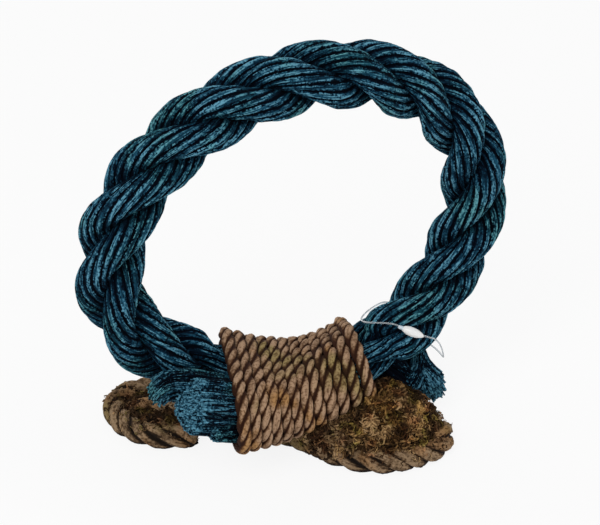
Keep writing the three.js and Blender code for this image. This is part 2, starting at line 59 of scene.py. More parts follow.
class Wire:
    """An output of a shader node. Arithmetic on wires adds Math nodes to the same tree."""

    def __init__(self, tree, socket=None):
        self.tree = tree
        self.socket = socket

    def node(self, kind, settings, sockets, output=0):
        """Adds a node, with its settings first and then a value or a link for each socket."""
        made = self.tree.nodes.new("ShaderNode" + kind)
        for name, value in settings.items():
            if name == "stops":
                stops = made.color_ramp.elements
                while len(stops) < len(value):
                    stops.new(1.0)
                for stop, (place, colour) in zip(stops, value):
                    stop.position = place
                    stop.color = colour
            else:
                setattr(made, name, value)
        for key, value in sockets.items():
            if isinstance(value, Wire):
                self.tree.links.new(value.socket, made.inputs[key])
            else:
                made.inputs[key].default_value = value
        return Wire(self.tree, made.outputs[output])

    def maths(self, operation, first, second=0.0):
        return self.node("Math", {"operation": operation}, {0: first, 1: second})

    def __add__(self, other):
        return self.maths("ADD", self, other)

    def __radd__(self, other):
        return self.maths("ADD", other, self)

    def __sub__(self, other):
        return self.maths("SUBTRACT", self, other)

    def __rsub__(self, other):
        return self.maths("SUBTRACT", other, self)

    def __mul__(self, other):
        return self.maths("MULTIPLY", self, other)

    def __rmul__(self, other):
        return self.maths("MULTIPLY", other, self)

    def fade(self, low, high):
        sockets = {"Value": self, "From Min": low, "From Max": high}
        return self.node("MapRange", {"interpolation_type": "SMOOTHSTEP"}, sockets)

    def mix(self, first, second):
        return self.node("Mix", {"data_type": "RGBA"}, {0: self, 6: first, 7: second}, output=2)

    def tint(self, colour):
        settings = {"data_type": "RGBA", "blend_type": "MULTIPLY"}
        return self.node("Mix", settings, {0: 1.0, 6: self, 7: colour}, output=2)

    def noise(self, scale, detail=2.0):
        return self.node("TexNoise", {}, {"Vector": self, "Scale": scale, "Detail": detail})

    def attribute(self, name):
        return self.node("Attribute", {"attribute_name": name}, {}, output="Fac")

    def into(self, node, **sockets):
        for name, value in sockets.items():
            socket = node.inputs[name.replace("_", " ")]
            if isinstance(value, Wire):
                self.tree.links.new(value.socket, socket)
            else:
                socket.default_value = value


def paint(red, green, blue):
    """A colour as a screen shows it, 0 to 255, in the linear light that shaders use."""
    linear = [
        ((c / 255 + 0.055) / 1.055) ** 2.4 if c > 10 else c / 255 / 12.92
        for c in (red, green, blue)
    ]
    return (*linear, 1.0)


def new_material(name):
    material = bpy.data.materials.new(name)
    material.use_nodes = True
    return material, Wire(material.node_tree), material.node_tree.nodes["Principled BSDF"]


def seen_rays(start):
    """1 for rays that end in the picture as a plain background, straight or by gloss or glass."""
    seen = start.node("LightPath", {}, {}, output="Is Camera Ray")
    for ray in ("Is Glossy Ray", "Is Transmission Ray"):
        seen = start.maths("MAXIMUM", seen, start.node("LightPath", {}, {}, output=ray))
    return seen


turn = CAMERA_AIM.to_track_quat("-Z", "Y").to_euler()
bpy.ops.object.camera_add(location=CAMERA_PLACE, rotation=turn)
camera = bpy.context.object
camera.data.lens = CAMERA_LENS
bpy.context.scene.camera = camera
bpy.context.scene.view_settings.view_transform = "Standard"

bpy.ops.mesh.primitive_plane_add(size=FLOOR_SIZE)
floor = bpy.context.object
floor.name = "floor"
sweep, start, shader = new_material("white_sweep")
start.into(shader, Base_Color=(0.9, 0.9, 0.9, 1), Roughness=0.9)
glow = start.node("Emission", {}, {"Color": (1, 1, 1, 1), "Strength": 1.0})
plain = Wire(start.tree, shader.outputs["BSDF"])
surface = start.node("MixShader", {}, {0: seen_rays(start) * FLOOR_GLOW, 1: plain, 2: glow})
start.into(start.tree.nodes["Material Output"], Surface=surface)
floor.data.materials.append(sweep)

room = bpy.data.worlds.new("pale_room")
room.use_nodes = True
bpy.context.scene.world = room
start = Wire(room.node_tree)
strength = ROOM_LIGHT + seen_rays(start) * (1 - ROOM_LIGHT)
start.into(room.node_tree.nodes["Background"], Color=(1, 1, 1, 1), Strength=strength)

for name, lamp in LAMPS.items():
    place = Vector(lamp["place"])
    turn = (-place).to_track_quat("-Z", "Y").to_euler()
    bpy.ops.object.light_add(type="AREA", location=place, rotation=turn)
    light = bpy.context.object
    light.name = name
    light.data.size = lamp["size"]
    light.data.energy = lamp["power"]

# Ring rope: a thick rope laid of three right-handed strands, each a bundle of yarns that wind the
# other way. Dyed teal and worn pale in streaks on the ridges, with painted shade dark in the grooves
# and on the strands' inner sides, and painted light on their outer backs. It is bent to an oval with
# its ends lapped, one behind the other, and both ends are cut and frayed out.
MM = 0.001
CLEARANCE = 0.3
HOOP_HALF_WIDTH = 64.8
HOOP_HALF_HEIGHT = 54.4
HOOP_LEAN = math.radians(9.9)
HOOP_FORWARD = 4
HOOP_TAPER = 0.105
STRAND_COUNT = 3
STRAND_DIAMETER = 9.75
STRAND_ORBIT = 6.32
ROPE_RADIUS = STRAND_ORBIT + STRAND_DIAMETER / 2
LAY_LENGTH = 64
LAY_START = math.radians(27)
LAY_EASE = 20  # how far the lay lags where the rope comes down to the lashing
LAY_EASE_FROM = 143  # from the back end
LAY_EASE_TO = 70
SQUEEZE_MIDDLE = 0.57
SQUEEZE_ENDS = 0.74
SQUEEZE_FADE_LEFT = 8  # how far from the lashing the rope is full again
SQUEEZE_FADE_RIGHT = 4
SQUEEZE_BELOW = math.radians(60)  # the hoop's angle under which the rope can be drawn in
FRONT_TAIL_ANGLE = math.radians(28)
FRONT_TAIL_EASE = 0.6  # share of a tail's reach over which it still goes the hoop's way
FRONT_TAIL_END = np.array([-49, -18.5, 8 - HOOP_HALF_HEIGHT])
FRONT_TAIL_AIM = np.array([-1, 0.1, 0.3])
BACK_TAIL_ANGLE = math.radians(42)
BACK_TAIL_EASE = 0.4
BACK_TAIL_END = np.array([38.2, 5.1, -2.4 - HOOP_HALF_HEIGHT])
BACK_TAIL_AIM = np.array([1, -0.1, 0.6])
LASHING_CORD = 3.7
LASHING_TURNS = 12
LASHING_PITCH = 4.34
LASHING_HALF = LASHING_TURNS * LASHING_PITCH / 2
LASHING_MIDDLE = -2
TAG_ANGLE = math.radians(31)
LAP_HALF = SQUEEZE_ENDS * ROPE_RADIUS + CLEARANCE
BACK = np.array([0.0, 1.0, 0.0])
UP = np.array([0.0, 0.0, 1.0])

ROPE_STEP = 0.85
HOOP_POINTS = 361
TAIL_POINTS = 61
LAP_POINTS = 60  # of the hoop's points, those at each end that lie near the lashing
STRAND_FULLNESS = 1.05  # the yarns fill the strand's solid and press into each other
YARNS = 10
YARN_FACETS = 10
YARN_PITCH = 36  # one turn of a yarn round its strand, left-handed
YARN_GROOVE = 0.19  # depth of the grooves, as a share of the strand's radius
YARN_FUZZ = 0.024  # height of the single fibres, likewise
YARN_ROUND = 0.95  # share of a half circle that a yarn's section shows
YARN_SWELLS = (14, 60)  # lengths of a yarn's slow swings in height
YARN_SWAYS = (18, 60)  # and sideways
YARN_SWAY = 0.2  # how far it swings sideways, in yarn widths
GROOVE_UNEVEN = 0.3  # how much the grooves' depth varies along a yarn
RIDGE_UNEVEN = 0.03
FIBRE_RUN = (0.3, 0.6, 0.7, 0.6, 0.3)  # weights that run a fibre on along its yarn
PRESSED = 1.07  # share of its radius that a strand's inner side fills, pressed by its neighbours
PRESSED_FROM = -0.15  # cosine of the angle from straight out, where that side begins
PRESSED_SPAN = 0.5
CROWN_FROM = 0.62  # share of the rope's radius where a strand's painted shade ends and its painted light begins
CROWN_SPAN = 0.36
FRAY_LENGTH = 16
FRONT_FRAY = (1.12, 1.06)  # spread and thickness of the strands at the front tail's end
FRONT_OPEN = 16  # rings of a strand that are wholly come apart there
BACK_FRAY = (0.8, 0.8)

# From dark to pale: the black and navy are mostly painted shade in the grooves and between the strands,
# and the pale is wear with painted light on the crowns.
ROPE_BLACK = paint(0, 4, 14)
ROPE_NAVY = paint(4, 24, 40)
ROPE_TEAL = paint(27, 76, 100)
ROPE_PALE = paint(98, 156, 180)


def unit(vectors):
    return vectors / np.linalg.norm(vectors, axis=-1, keepdims=True)


def smooth(x):
    x = np.clip(x, 0, 1)
    return x * x * (3 - 2 * x)


def travelled(points):
    steps = np.linalg.norm(np.diff(points, axis=0), axis=1)
    return np.concatenate([[0], np.cumsum(steps)])


def respace(points, step):
    """Points evenly spaced along a line, about a step apart."""
    place = travelled(points)
    even = np.linspace(0, place[-1], round(place[-1] / step) + 1)
    return np.stack([np.interp(even, place, points[:, k]) for k in range(3)], axis=1)


def bezier(a, b, c, d, count):
    t = np.linspace(0, 1, count)[:, None]
    return (1 - t) ** 3 * a + 3 * (1 - t) ** 2 * t * b + 3 * (1 - t) * t**2 * c + t**3 * d


def hoop_point(angle):
    """The rope's centreline by the angle from the hoop's bottom, from the hoop's own centre."""
    angle = np.asarray(angle, float)
    taper = HOOP_TAPER * np.maximum(np.cos(angle), 0) ** 2
    across = HOOP_HALF_WIDTH * np.sin(angle) * (1 - taper)
    height = -HOOP_HALF_HEIGHT * np.cos(angle)
    depth = LAP_HALF * (angle / np.pi - 1) - HOOP_FORWARD * (1 + np.cos(angle)) ** 2 / 4
    x = across * math.cos(HOOP_LEAN) - height * math.sin(HOOP_LEAN)
    z = across * math.sin(HOOP_LEAN) + height * math.cos(HOOP_LEAN)
    return np.stack([x, depth, z], axis=-1)


def hoop_tangent(angle):
    step = 0.001
    return unit(hoop_point(angle + step) - hoop_point(angle - step))


def tail(begin, begin_aim, ease, end, end_aim):
    """An end of the rope: it leaves the hoop the hoop's way and bends to its own aim."""
    reach = np.linalg.norm(end - begin)
    leave = begin + begin_aim * reach * ease
    arrive = end - unit(end_aim) * reach / 3
    return bezier(begin, leave, arrive, end, TAIL_POINTS)


def squeeze(x):
    """The rope's thickness by its place across: drawn in under the lashing and full beside it."""
    half = LASHING_HALF + LASHING_CORD
    off = np.abs(x - LASHING_MIDDLE)
    under = SQUEEZE_MIDDLE + (SQUEEZE_ENDS - SQUEEZE_MIDDLE) * (off / half) ** 2
    fade = np.where(x < LASHING_MIDDLE, SQUEEZE_FADE_LEFT, SQUEEZE_FADE_RIGHT)
    beside = SQUEEZE_ENDS + (1 - SQUEEZE_ENDS) * smooth((off - half) / fade)
    return np.where(off < half, under, beside)


def rope_scale(points):
    low = points[:, 2] < hoop_point(SQUEEZE_BELOW)[2]
    return np.where(low, squeeze(points[:, 0]), 1.0)


def draw_in(points, way):
    """Where the rope is thinned, it lies closer to the other rope that it is lashed to."""
    thinned = np.maximum(SQUEEZE_ENDS - rope_scale(points), 0) * ROPE_RADIUS
    return points + way * thinned[:, None] * BACK


def rope_route():
    """The rope from its front end round to its back end, and the two ropes under the lashing."""
    first = FRONT_TAIL_ANGLE
    last = 2 * math.pi - BACK_TAIL_ANGLE
    front = tail(hoop_point(first), -hoop_tangent(first), FRONT_TAIL_EASE, FRONT_TAIL_END, FRONT_TAIL_AIM)
    back = tail(hoop_point(last), hoop_tangent(last), BACK_TAIL_EASE, BACK_TAIL_END, BACK_TAIL_AIM)
    hoop = hoop_point(np.linspace(first, last, HOOP_POINTS)[1:-1])
    front = draw_in(np.concatenate([front[::-1], hoop[:LAP_POINTS]]), 1)
    back = draw_in(np.concatenate([hoop[-LAP_POINTS:], back]), -1)
    return np.concatenate([front, hoop[LAP_POINTS:-LAP_POINTS], back]), front, back


def frayed(share, from_end):
    return 1 + (share - 1) * smooth(1 - from_end / FRAY_LENGTH)


def strand_line(number):
    """A strand's centreline and radius along the rope, and its way out from the rope's middle."""
    place = travelled(rope_line)
    total = place[-1]
    along = unit(np.gradient(rope_line, axis=0))
    inward = unit(np.cross(along, BACK))
    behind = np.cross(inward, along)
    scale = rope_scale(rope_line)
    spread = frayed(FRONT_FRAY[0], place) * frayed(BACK_FRAY[0], total - place)
    swell = frayed(FRONT_FRAY[1], place) * frayed(BACK_FRAY[1], total - place)
    lag = LAY_EASE * smooth((place - total + LAY_EASE_FROM) / (LAY_EASE_FROM - LAY_EASE_TO))
    angle = LAY_START + 2 * np.pi * (number / STRAND_COUNT - (place - lag) / LAY_LENGTH)
    reach = (STRAND_ORBIT * scale * spread)[:, None]
    outward = inward * np.cos(angle)[:, None] + behind * np.sin(angle)[:, None]
    radius = STRAND_DIAMETER / 2 * STRAND_FULLNESS * scale * swell
    return rope_line + reach * outward, radius, outward


def wander(generator, count, place, shortest, longest):
    """Slow random swings along a line, a column for each of count yarns, within about -1 to 1."""
    waves = 4
    swings = np.zeros((len(place), count))
    for _ in range(waves):
        length = generator.uniform(shortest, longest, count)
        phase = generator.uniform(0, 2 * np.pi, count)
        swings += np.sin(2 * np.pi * place[:, None] / length + phase)
    return swings / (0.6 * waves)


def laid_surface(centres, outward, radius, yarns, facets, pitch, groove, fuzz, seed):
    """Rings of points on a bundle of yarns, which wind round it once in a pitch.
    With them come each point's height on its yarn, from 0 in a groove to 1 on the ridge, how far a
    fibre stands out there, and its place on the yarns: yarns round, and yarn widths along."""
    generator = np.random.default_rng(seed)
    along = unit(np.gradient(centres, axis=0))
    outward = unit(outward - (outward * along).sum(1, keepdims=True) * along)
    aside = np.cross(along, outward)
    place = travelled(centres)
    column = np.arange(yarns * facets)
    yarn = column // facets
    share = column % facets / facets
    height = np.sqrt(1 - (YARN_ROUND * (2 * share - 1)) ** 2)
    ridge = (height - height.min()) / (height.max() - height.min())
    rise = wander(generator, yarns, place, *YARN_SWELLS)[:, yarn]
    shift = YARN_SWAY * wander(generator, yarns, place, *YARN_SWAYS)
    shift = shift[:, yarn] * (1 - share) + shift[:, (yarn + 1) % yarns] * share
    angle = 2 * np.pi * ((column / facets + shift) / yarns - place[:, None] / pitch)
    fibre = generator.normal(size=angle.shape)
    fibre = sum(
        weight * np.roll(fibre, step - len(FIBRE_RUN) // 2, axis=0)
        for step, weight in enumerate(FIBRE_RUN)
    )
    cut = groove * (1 - ridge) * (1 + GROOVE_UNEVEN * rise)
    depth = 1 - cut + RIDGE_UNEVEN * rise * ridge + fuzz * fibre * ridge
    inside = smooth((PRESSED_FROM - np.cos(angle)) / PRESSED_SPAN)
    depth = depth * (1 - inside) + PRESSED * inside
    reach = (radius[:, None] * depth)[..., None]
    turned = np.cos(angle)[..., None] * outward[:, None] + np.sin(angle)[..., None] * aside[:, None]
    rings = centres[:, None] + reach * turned
    width = 2 * np.pi * radius.mean() / yarns
    ridge = np.broadcast_to(ridge, angle.shape)
    return rings, ridge, np.clip(0.5 + 0.28 * fibre, 0, 1), (column / facets, place / width)


def tube_mesh(name, tubes, yarns=None, **values):
    """One mesh of closed tubes, given as rings of points in millimetres: tube, ring, point round.
    yarns gives the map's two directions, and values are per-point numbers for the materials."""
    count, rings, sides, _ = tubes.shape
    body = tubes.reshape(count, rings * sides, 3)
    caps = [tubes[:, ring].mean(1)[:, None] for ring in (0, -1)]
    points = np.concatenate([body, *caps], axis=1)
    i, j = np.meshgrid(np.arange(rings - 1), np.arange(sides), indexing="ij")
    here = i * sides + j
    beside = i * sides + (j + 1) % sides
    quads = np.stack([here, beside, beside + sides, here + sides], axis=-1).reshape(-1, 4)
    k = np.arange(sides)
    after = (k + 1) % sides
    first, last = rings * sides, rings * sides + 1
    last_ring = (rings - 1) * sides
    begin = np.stack([np.full(sides, first), after, k], axis=-1)
    end = np.stack([np.full(sides, last), k + last_ring, after + last_ring], axis=-1)
    start_of = np.arange(count) * (rings * sides + 2)
    faces = (quads + start_of[:, None, None]).reshape(-1, 4).tolist()
    faces += (np.concatenate([begin, end]) + start_of[:, None, None]).reshape(-1, 3).tolist()
    mesh = bpy.data.meshes.new(name)
    mesh.from_pydata((points.reshape(-1, 3) * MM).tolist(), [], faces)
    mesh.polygons.foreach_set("use_smooth", np.ones(len(faces), bool))
    for value_name, value in values.items():
        value = np.broadcast_to(value, tubes.shape[:3]).reshape(count, -1)
        value = np.concatenate([value, value[:, :1], value[:, -1:]], axis=1)
        attribute = mesh.attributes.new(value_name, "FLOAT", "POINT")
        attribute.data.foreach_set("value", value.ravel().astype(np.float32))
    if yarns is not None:
        round_place, along_place = yarns
        step = round_place[1] - round_place[0]
        near, far = round_place[j], round_place[j] + step
        u = np.stack([near, far, far, near], axis=-1)
        near, far = along_place[i], along_place[i + 1]
        v = np.stack([near, near, far, far], axis=-1)
        corners = np.zeros((len(mesh.loops), 2), np.float32)
        corners[: u.size * count, 0] = np.tile(u.ravel(), count)
        corners[: v.size * count, 1] = np.tile(v.ravel(), count)
        layer = mesh.uv_layers.new(name="yarns")
        layer.data.foreach_set("uv", corners.ravel())
    mesh.update()
    piece = bpy.data.objects.new(name, mesh)
    bpy.context.scene.collection.objects.link(piece)
    return piece


def rope_material():
    material, start, shader = new_material("teal_rope")
    crest, crown, fleck = map(start.attribute, ("crest", "crown", "fleck"))
    yarns = start.node("UVMap", {"uv_map": "yarns"}, {})
    place = start.node("TexCoord", {}, {}, output="Object")
    long_streaks = start.node("Mapping", {}, {"Vector": yarns, "Scale": (1.7, 0.2, 1)})
    streaks = long_streaks.noise(1.0, 3.0)
    fine_lines = start.node("Mapping", {}, {"Vector": yarns, "Scale": (9.0, 1.1, 1)})
    fibres = fine_lines.noise(1.0)
    patches = place.noise(70.0)
    specks = place.noise(1300.0)
    worn = streaks.fade(0.36, 0.66)
    grain = fleck.fade(0.15, 0.8) * (0.35 + 1.1 * fibres.fade(0.3, 0.7))
    grain = grain * (0.3 + specks.fade(0.38, 0.6))
    ridge = crest + 1.3 * (fibres - 0.5) + (specks - 0.5)
    # tone paints shade: black in the yarns' grooves and on the strands' inner sides, and pale on the lit
    # crowns, with real wear streaks and grain on top.
    tone = ridge.fade(0.5, 0.98) * (0.4 + 0.6 * crown) * (0.4 + 0.6 * worn) * (0.4 + 0.75 * grain)
    stops = [(0.0, ROPE_BLACK), (0.14, ROPE_NAVY), (0.38, ROPE_TEAL), (0.85, ROPE_PALE)]
    colour = start.node("ValToRGB", {"stops": stops}, {"Fac": tone})
    colour = patches.fade(0.45, 0.65).mix(colour, colour.tint((0.95, 1.04, 0.86, 1)))
    relief = start.node("Bump", {}, {"Strength": 0.8, "Distance": 0.0004, "Height": fibres + specks})
    start.into(shader, Base_Color=colour, Roughness=0.92 - 0.2 * tone, Normal=relief)
    start.into(shader, Specular_IOR_Level=0.06)
    return material


pin = np.array(frame["joints"][0]["pos_m"]) / MM
hoop_centre = pin - hoop_point(TAG_ANGLE)
rope_line, front_rope, back_rope = rope_route()
rope_line = respace(rope_line, ROPE_STEP)
teal = rope_material()

for number in range(STRAND_COUNT):
    centres, radius, outward = strand_line(number)
    rings, ridge, fibre, (yarns_round, yarns_along) = laid_surface(
        centres, outward, radius, yarns=YARNS, facets=YARN_FACETS, pitch=YARN_PITCH,
        groove=YARN_GROOVE, fuzz=YARN_FUZZ, seed=number)
    thickness = rope_scale(rope_line)[:, None] * ROPE_RADIUS
    from_axis = np.linalg.norm(rings - rope_line[:, None], axis=2) / thickness
    # Painted shade and light: a strand is dark where it lies deep in the rope between its neighbours, and
    # lit on its outer back.
    crown = smooth((from_axis - CROWN_FROM) / CROWN_SPAN)
    laid = slice(FRONT_OPEN, None)
    tube = (rings[laid] + hoop_centre)[None]
    yarns = (yarns_round, yarns_along[laid])
    strand = tube_mesh(
        f"rope_strand_{number + 1}", tube, yarns, crest=ridge[laid], crown=crown[laid], fleck=fibre[laid])
    strand.data.materials.append(teal)
    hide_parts(f"ring_strand_{number + 1}")
    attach(strand, "ring")

# Core wire: a stiff drawn steel wire down the middle of the rope, which holds the hoop open. It is
# hidden by the strands and keeps its CAD shape.
core_wire = frame["nodes"]["core_wire"]
steel, start, shader = new_material("drawn_steel")
place = start.node("TexCoord", {}, {}, output="Object")
lines = place.noise(1500.0)
start.into(shader, Base_Color=(0.6, 0.61, 0.62, 1), Metallic=1.0, Roughness=0.3 + 0.2 * lines)
core_wire.data.materials.clear()
core_wire.data.materials.append(steel)

# Frayed ends: at both cuts the strands have come apart into stiff brushes of fibre. In front, two
# strands end in one blunt brush with pale fibre ends, and the third hangs over beside it. Behind,
# the end is pinched to a band that flares where it rests, and dark fibres fill the hollow under it
# as painted shade.
FIBRE_RINGS = 10
FIBRE_SIDES = 5
FIBRE_RADIUS = 0.42
FIBRE_UNEVEN = (0.7, 1.3)
FIBRE_STRAY = 0.45
FIBRE_CURL = 0.22
FIBRE_SHADES = (0.3, 1.1)
TIP_SHARPNESS = 16  # how near its end a fibre turns pale
BRUSH_POINTS = 60  # along a brush's line, and the passes that smooth it
BRUSH_REACH = 0.95  # of the line, in the brush's middle
CLUMP_TURN = 2.4  # radians from one clump to the next, which spreads them evenly
FRONT_BRUSHES = [
    {
        "line": [(-13, -15, 22), (-22, -16, 24.5), (-29, -16.8, 27.5), (-34.5, -17.2, 30)],
        "radii": (6.0, 6.6, 7.0, 6.6), "count": 420, "clumps": 18,
        "dome": 0.3, "ragged": 0.03, "light": (0.15, 0.8),
    },
    {
        "line": [(-15, -14.3, 26.5), (-24.5, -14.8, 30.5), (-32.5, -14.6, 34), (-41.4, -14.2, 36.6)],
        "radii": (8.0, 9.2, 10.0, 9.0), "count": 1150, "clumps": 46,
        "dome": 0.16, "ragged": 0.018, "light": (0.6, 1),
    },
    {
        "line": [(-18, -14, 33), (-30, -12, 39), (-38.5, -8.5, 41), (-43.5, -6, 38.5), (-45.4, -6, 33)],
        "radii": (4.4, 4.6, 4.8, 4.6, 3.8), "count": 340, "clumps": 12,
        "dome": 0.1, "ragged": 0.03, "light": (0.5, 0.95),
    },
]
BACK_BRUSHES = [
    {
        "line": [
            (45, 9, 23), (53.3, -0.7, 26), (53.4, -5, 22), (54.1, -7.4, 18), (56, -9.4, 13),
            (57.6, -11.5, 7),
        ],
        "radii": (4.5, 3.0, 2.5, 2.6, 6.4, 7.2), "count": 640, "clumps": 18,
        "dome": 0.22, "ragged": 0.03, "light": (0.7, 1.1),
    },
    {
        "line": [(53.4, -4, 23), (51, -8.5, 18.5), (47.6, -9.8, 14.5), (45, -11, 11)],
        "radii": (2.0, 2.8, 3.6, 3.8), "count": 200, "clumps": 8,
        "dome": 0.2, "ragged": 0.05, "light": (0.5, 1),
    },
    # The next two brushes are dark fibres that fill the hollow under the back end: painted shade.
    {
        "line": [(37, 1, 28), (40.5, -3.5, 22), (44, -5, 17), (47, -5, 9)],
        "radii": (5.0, 6.0, 6.5, 7.0), "count": 340, "clumps": 14,
        "dome": 0.1, "ragged": 0.04, "light": (0.1, 0.5),
    },
    {
        "line": [(41, 8, 22), (50, 2, 22), (52, -3, 16), (52.5, -6, 7)],
        "radii": (5.0, 4.4, 4.4, 5.0), "count": 300, "clumps": 10,
        "dome": 0.2, "ragged": 0.05, "light": (0.15, 0.6),
    },
]


def fibre_tubes(paths, radius, sides, generator):
    """Thin tubes along paths, given as fibre, point, xyz, with a radius for each point."""
    along = unit(np.gradient(paths, axis=1))
    side = unit(np.cross(along, generator.normal(size=(len(paths), 1, 3))))
    other = np.cross(along, side)
    angle = 2 * np.pi * np.arange(sides)[:, None] / sides
    turned = np.cos(angle) * side[:, :, None] + np.sin(angle) * other[:, :, None]
    return paths[:, :, None] + radius[..., None, None] * turned


def brush_paths(generator, line, radii, count, clumps, dome, ragged, light):
    """Fibres in clumps along a bent line, within the radius given at each of its points. They are
    cut to a dome, a share shorter at the rim than in the middle. light is the clumps' range of
    brightness, kept low where a brush is painted shade."""
    knots = travelled(np.array(line, float))
    fine = np.linspace(0, knots[-1], BRUSH_POINTS)
    course = np.stack([np.interp(fine, knots, axis) for axis in (*zip(*line), radii)], axis=1)
    for _ in range(BRUSH_POINTS):
        course[1:-1] = (course[:-2] + 2 * course[1:-1] + course[2:]) / 4
    along = unit(np.gradient(course[:, :3], axis=0))
    side = unit(np.cross(along, UP))
    course = np.concatenate([course, side, np.cross(side, along)], axis=1)
    clump = np.arange(count) % clumps
    spin = CLUMP_TURN * clump
    place = np.sqrt((clump + 0.5) / clumps) * np.stack([np.cos(spin), np.sin(spin)])
    place = place + generator.normal(0, 0.5 / math.sqrt(clumps), (2, count))
    off = np.hypot(*place)
    place = place / np.maximum(off, 1)
    reach = BRUSH_REACH - dome * np.minimum(off, 1) ** 2 + generator.normal(0, ragged, count)
    share = np.linspace(0, 1, FIBRE_RINGS) * np.minimum(reach, 1)[:, None]
    even = np.linspace(0, 1, BRUSH_POINTS)
    at = np.stack([np.interp(share, even, column) for column in course.T], axis=-1)
    across = place[0][:, None, None] * at[..., 4:7] + place[1][:, None, None] * at[..., 7:10]
    stray = generator.normal(0, FIBRE_STRAY, (count, 1, 3)) * share[..., None] ** 3
    wave = np.sin(9 * share + 7 * off[:, None])[..., None]
    curl = generator.normal(0, FIBRE_CURL, (count, 1, 3)) * wave
    bright = generator.uniform(*light, clumps)[clump] * generator.uniform(*FIBRE_SHADES, count)
    return at[..., :3] + at[..., 3:4] * across + stray + curl, bright


def frayed_end(name, brushes, seed):
    generator = np.random.default_rng(seed)
    made = [brush_paths(generator, **brush) for brush in brushes]
    paths = np.concatenate([path for path, _ in made])
    bright = np.concatenate([light for _, light in made])[:, None, None]
    share = np.linspace(0, 1, FIBRE_RINGS)
    uneven = generator.uniform(*FIBRE_UNEVEN, (len(paths), 1))
    radius = FIBRE_RADIUS * uneven * (1 - 0.1 * share)
    tip = share[None, :, None] ** TIP_SHARPNESS
    end = tube_mesh(
        name,
        fibre_tubes(paths, radius, FIBRE_SIDES, generator),
        (np.arange(FIBRE_SIDES) / FIBRE_SIDES, 4 * share),
        crest=bright * (0.95 - 0.25 * tip) + 0.35 * tip + 0.14,
        crown=0.6 + 0.4 * tip,
        fleck=0.8,
    )
    end.data.materials.append(teal)
    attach(end, "ring")


frayed_end("front_fray", FRONT_BRUSHES, seed=11)
frayed_end("back_fray", BACK_BRUSHES, seed=12)

# Lashing: a dozen turns of thin three-ply cord, drawn tight round both lapped ropes, with its ends
# tucked under. Pinkish tan on the plies, stained ochre and green in places, with painted shade dark
# in the gaps and on the sides that face the ropes.
LASHING_SKEW = 0.3
LASHING_SLACK = 1.255
LASHING_LEAN_LEFT = math.radians(3)
LASHING_LEAN_RIGHT = math.radians(16)
LASHING_THICK = 4.9  # the cord as it lies, its turns pressed together
LASHING_LAY = 18
LASHING_STEP = 0.9
TURN_STEPS = 120
ACROSS = np.array([1.0, 0.0, 0.0])
PLY_ORBIT = 0.47  # share of a cord's radius, from its middle to the middle of a ply
PLY_SWING = 0.8  # how far the plies wander round the cord, in radians
PLY_SWINGS = (30, 90)  # lengths of those swings
PLY_SWELL = 0.11  # how much a ply's thickness varies
PLY_SWELLS = (12, 40)
PLY_CROWN_FROM = 0.68  # share of a cord's radius where a ply's painted light begins, out of the painted shade between the plies
PLY_CROWN_SPAN = 0.28
FACING_SPAN = 0.6  # over which a ply turns from painted shade to painted light
# Dark to pale: the dark end is mostly painted shade in the gaps between the plies and turns.
LASHING_COLOURS = [paint(46, 22, 8), paint(86, 57, 35), paint(130, 101, 76), paint(176, 143, 114)]
LASHING_STAINS = [  # tint, scale of its patches, and the noise where they begin
    ((0.95, 0.8, 0.5, 1), 60.0, 0.56),
    ((0.8, 0.92, 0.62, 1), 45.0, 0.58),
]


def rope_at(line, x):
    return np.array([np.interp(x, line[:, 0], line[:, k]) for k in range(3)])


def lashing_point(x, share, room):
    """A point on a turn: the outline of two circles, one round each rope, room off the ropes.
    A turn starts in the middle of the underside and goes forwards, up, back and down."""
    lead = LASHING_SKEW * LAP_HALF
    thickest = max(squeeze(x - lead), squeeze(x + lead)) * ROPE_RADIUS
    radius = thickest * LASHING_SLACK + CLEARANCE + room
    front = rope_at(front_rope, x - lead)
    behind = rope_at(back_rope, x + lead)
    length = np.linalg.norm(behind - front)
    depth = (behind - front) / length
    part_way = (1 + (x - LASHING_MIDDLE) / LASHING_HALF) / 2
    lean = LASHING_LEAN_LEFT + (LASHING_LEAN_RIGHT - LASHING_LEAN_LEFT) * part_way
    upward = UP - math.tan(lean) * ACROSS
    height = unit(upward - depth * (upward @ depth))
    arc = math.pi * radius
    place = share % 1 * 2 * (arc + length)

    def on(centre, angle, run=0.0):
        return centre - radius * (depth * math.sin(angle) + height * math.cos(angle)) + depth * run

    if place < length / 2:
        return on(front, 0, length / 2 - place)
    place -= length / 2
    if place < arc:
        return on(front, place / radius)
    place -= arc
    if place < length:
        return on(front, math.pi, place)
    place -= length
    if place < arc:
        return on(behind, math.pi + place / radius)
    return on(behind, 0, arc - place)


def laid_cord(line, side, shade_below, plies, thick, lay, seed, **yarn_sizes):
    """The plies of a right-handed cord along a line, with painted light towards side and painted shade
    where they face less than shade_below that way, and between the plies. Gives each ply's rings of
    points, heights on its yarns, painted light on the cord, fibres and yarn places."""
    along = unit(np.gradient(line, axis=0))
    side = unit(side - (side * along).sum(1, keepdims=True) * along)
    other = np.cross(along, side)
    place = travelled(line)
    half = thick / 2
    reach = half * PLY_ORBIT
    generator = np.random.default_rng(seed)
    swing = PLY_SWING * wander(generator, 1, place, *PLY_SWINGS)
    made = []
    for ply in range(plies):
        angle = 2 * np.pi * (ply / plies + place / lay)[:, None] + swing
        outward = np.cos(angle) * side + np.sin(angle) * other
        swell = PLY_SWELL * wander(generator, 1, place, *PLY_SWELLS)[:, 0]
        radius = (half - reach) * (1 + swell)
        centres = line + reach * outward
        rings, ridge, fibre, lines = laid_surface(
            centres, outward, radius, seed=seed + ply, **yarn_sizes)
        off = rings - line[:, None]
        from_axis = np.linalg.norm(off, axis=2) / half
        facing = (off * side[:, None]).sum(2) / half
        crown = smooth((from_axis - PLY_CROWN_FROM) / PLY_CROWN_SPAN)
        crown = crown * smooth((facing - shade_below) / FACING_SPAN)
        made.append((rings, ridge, crown, fibre, lines))
    return made


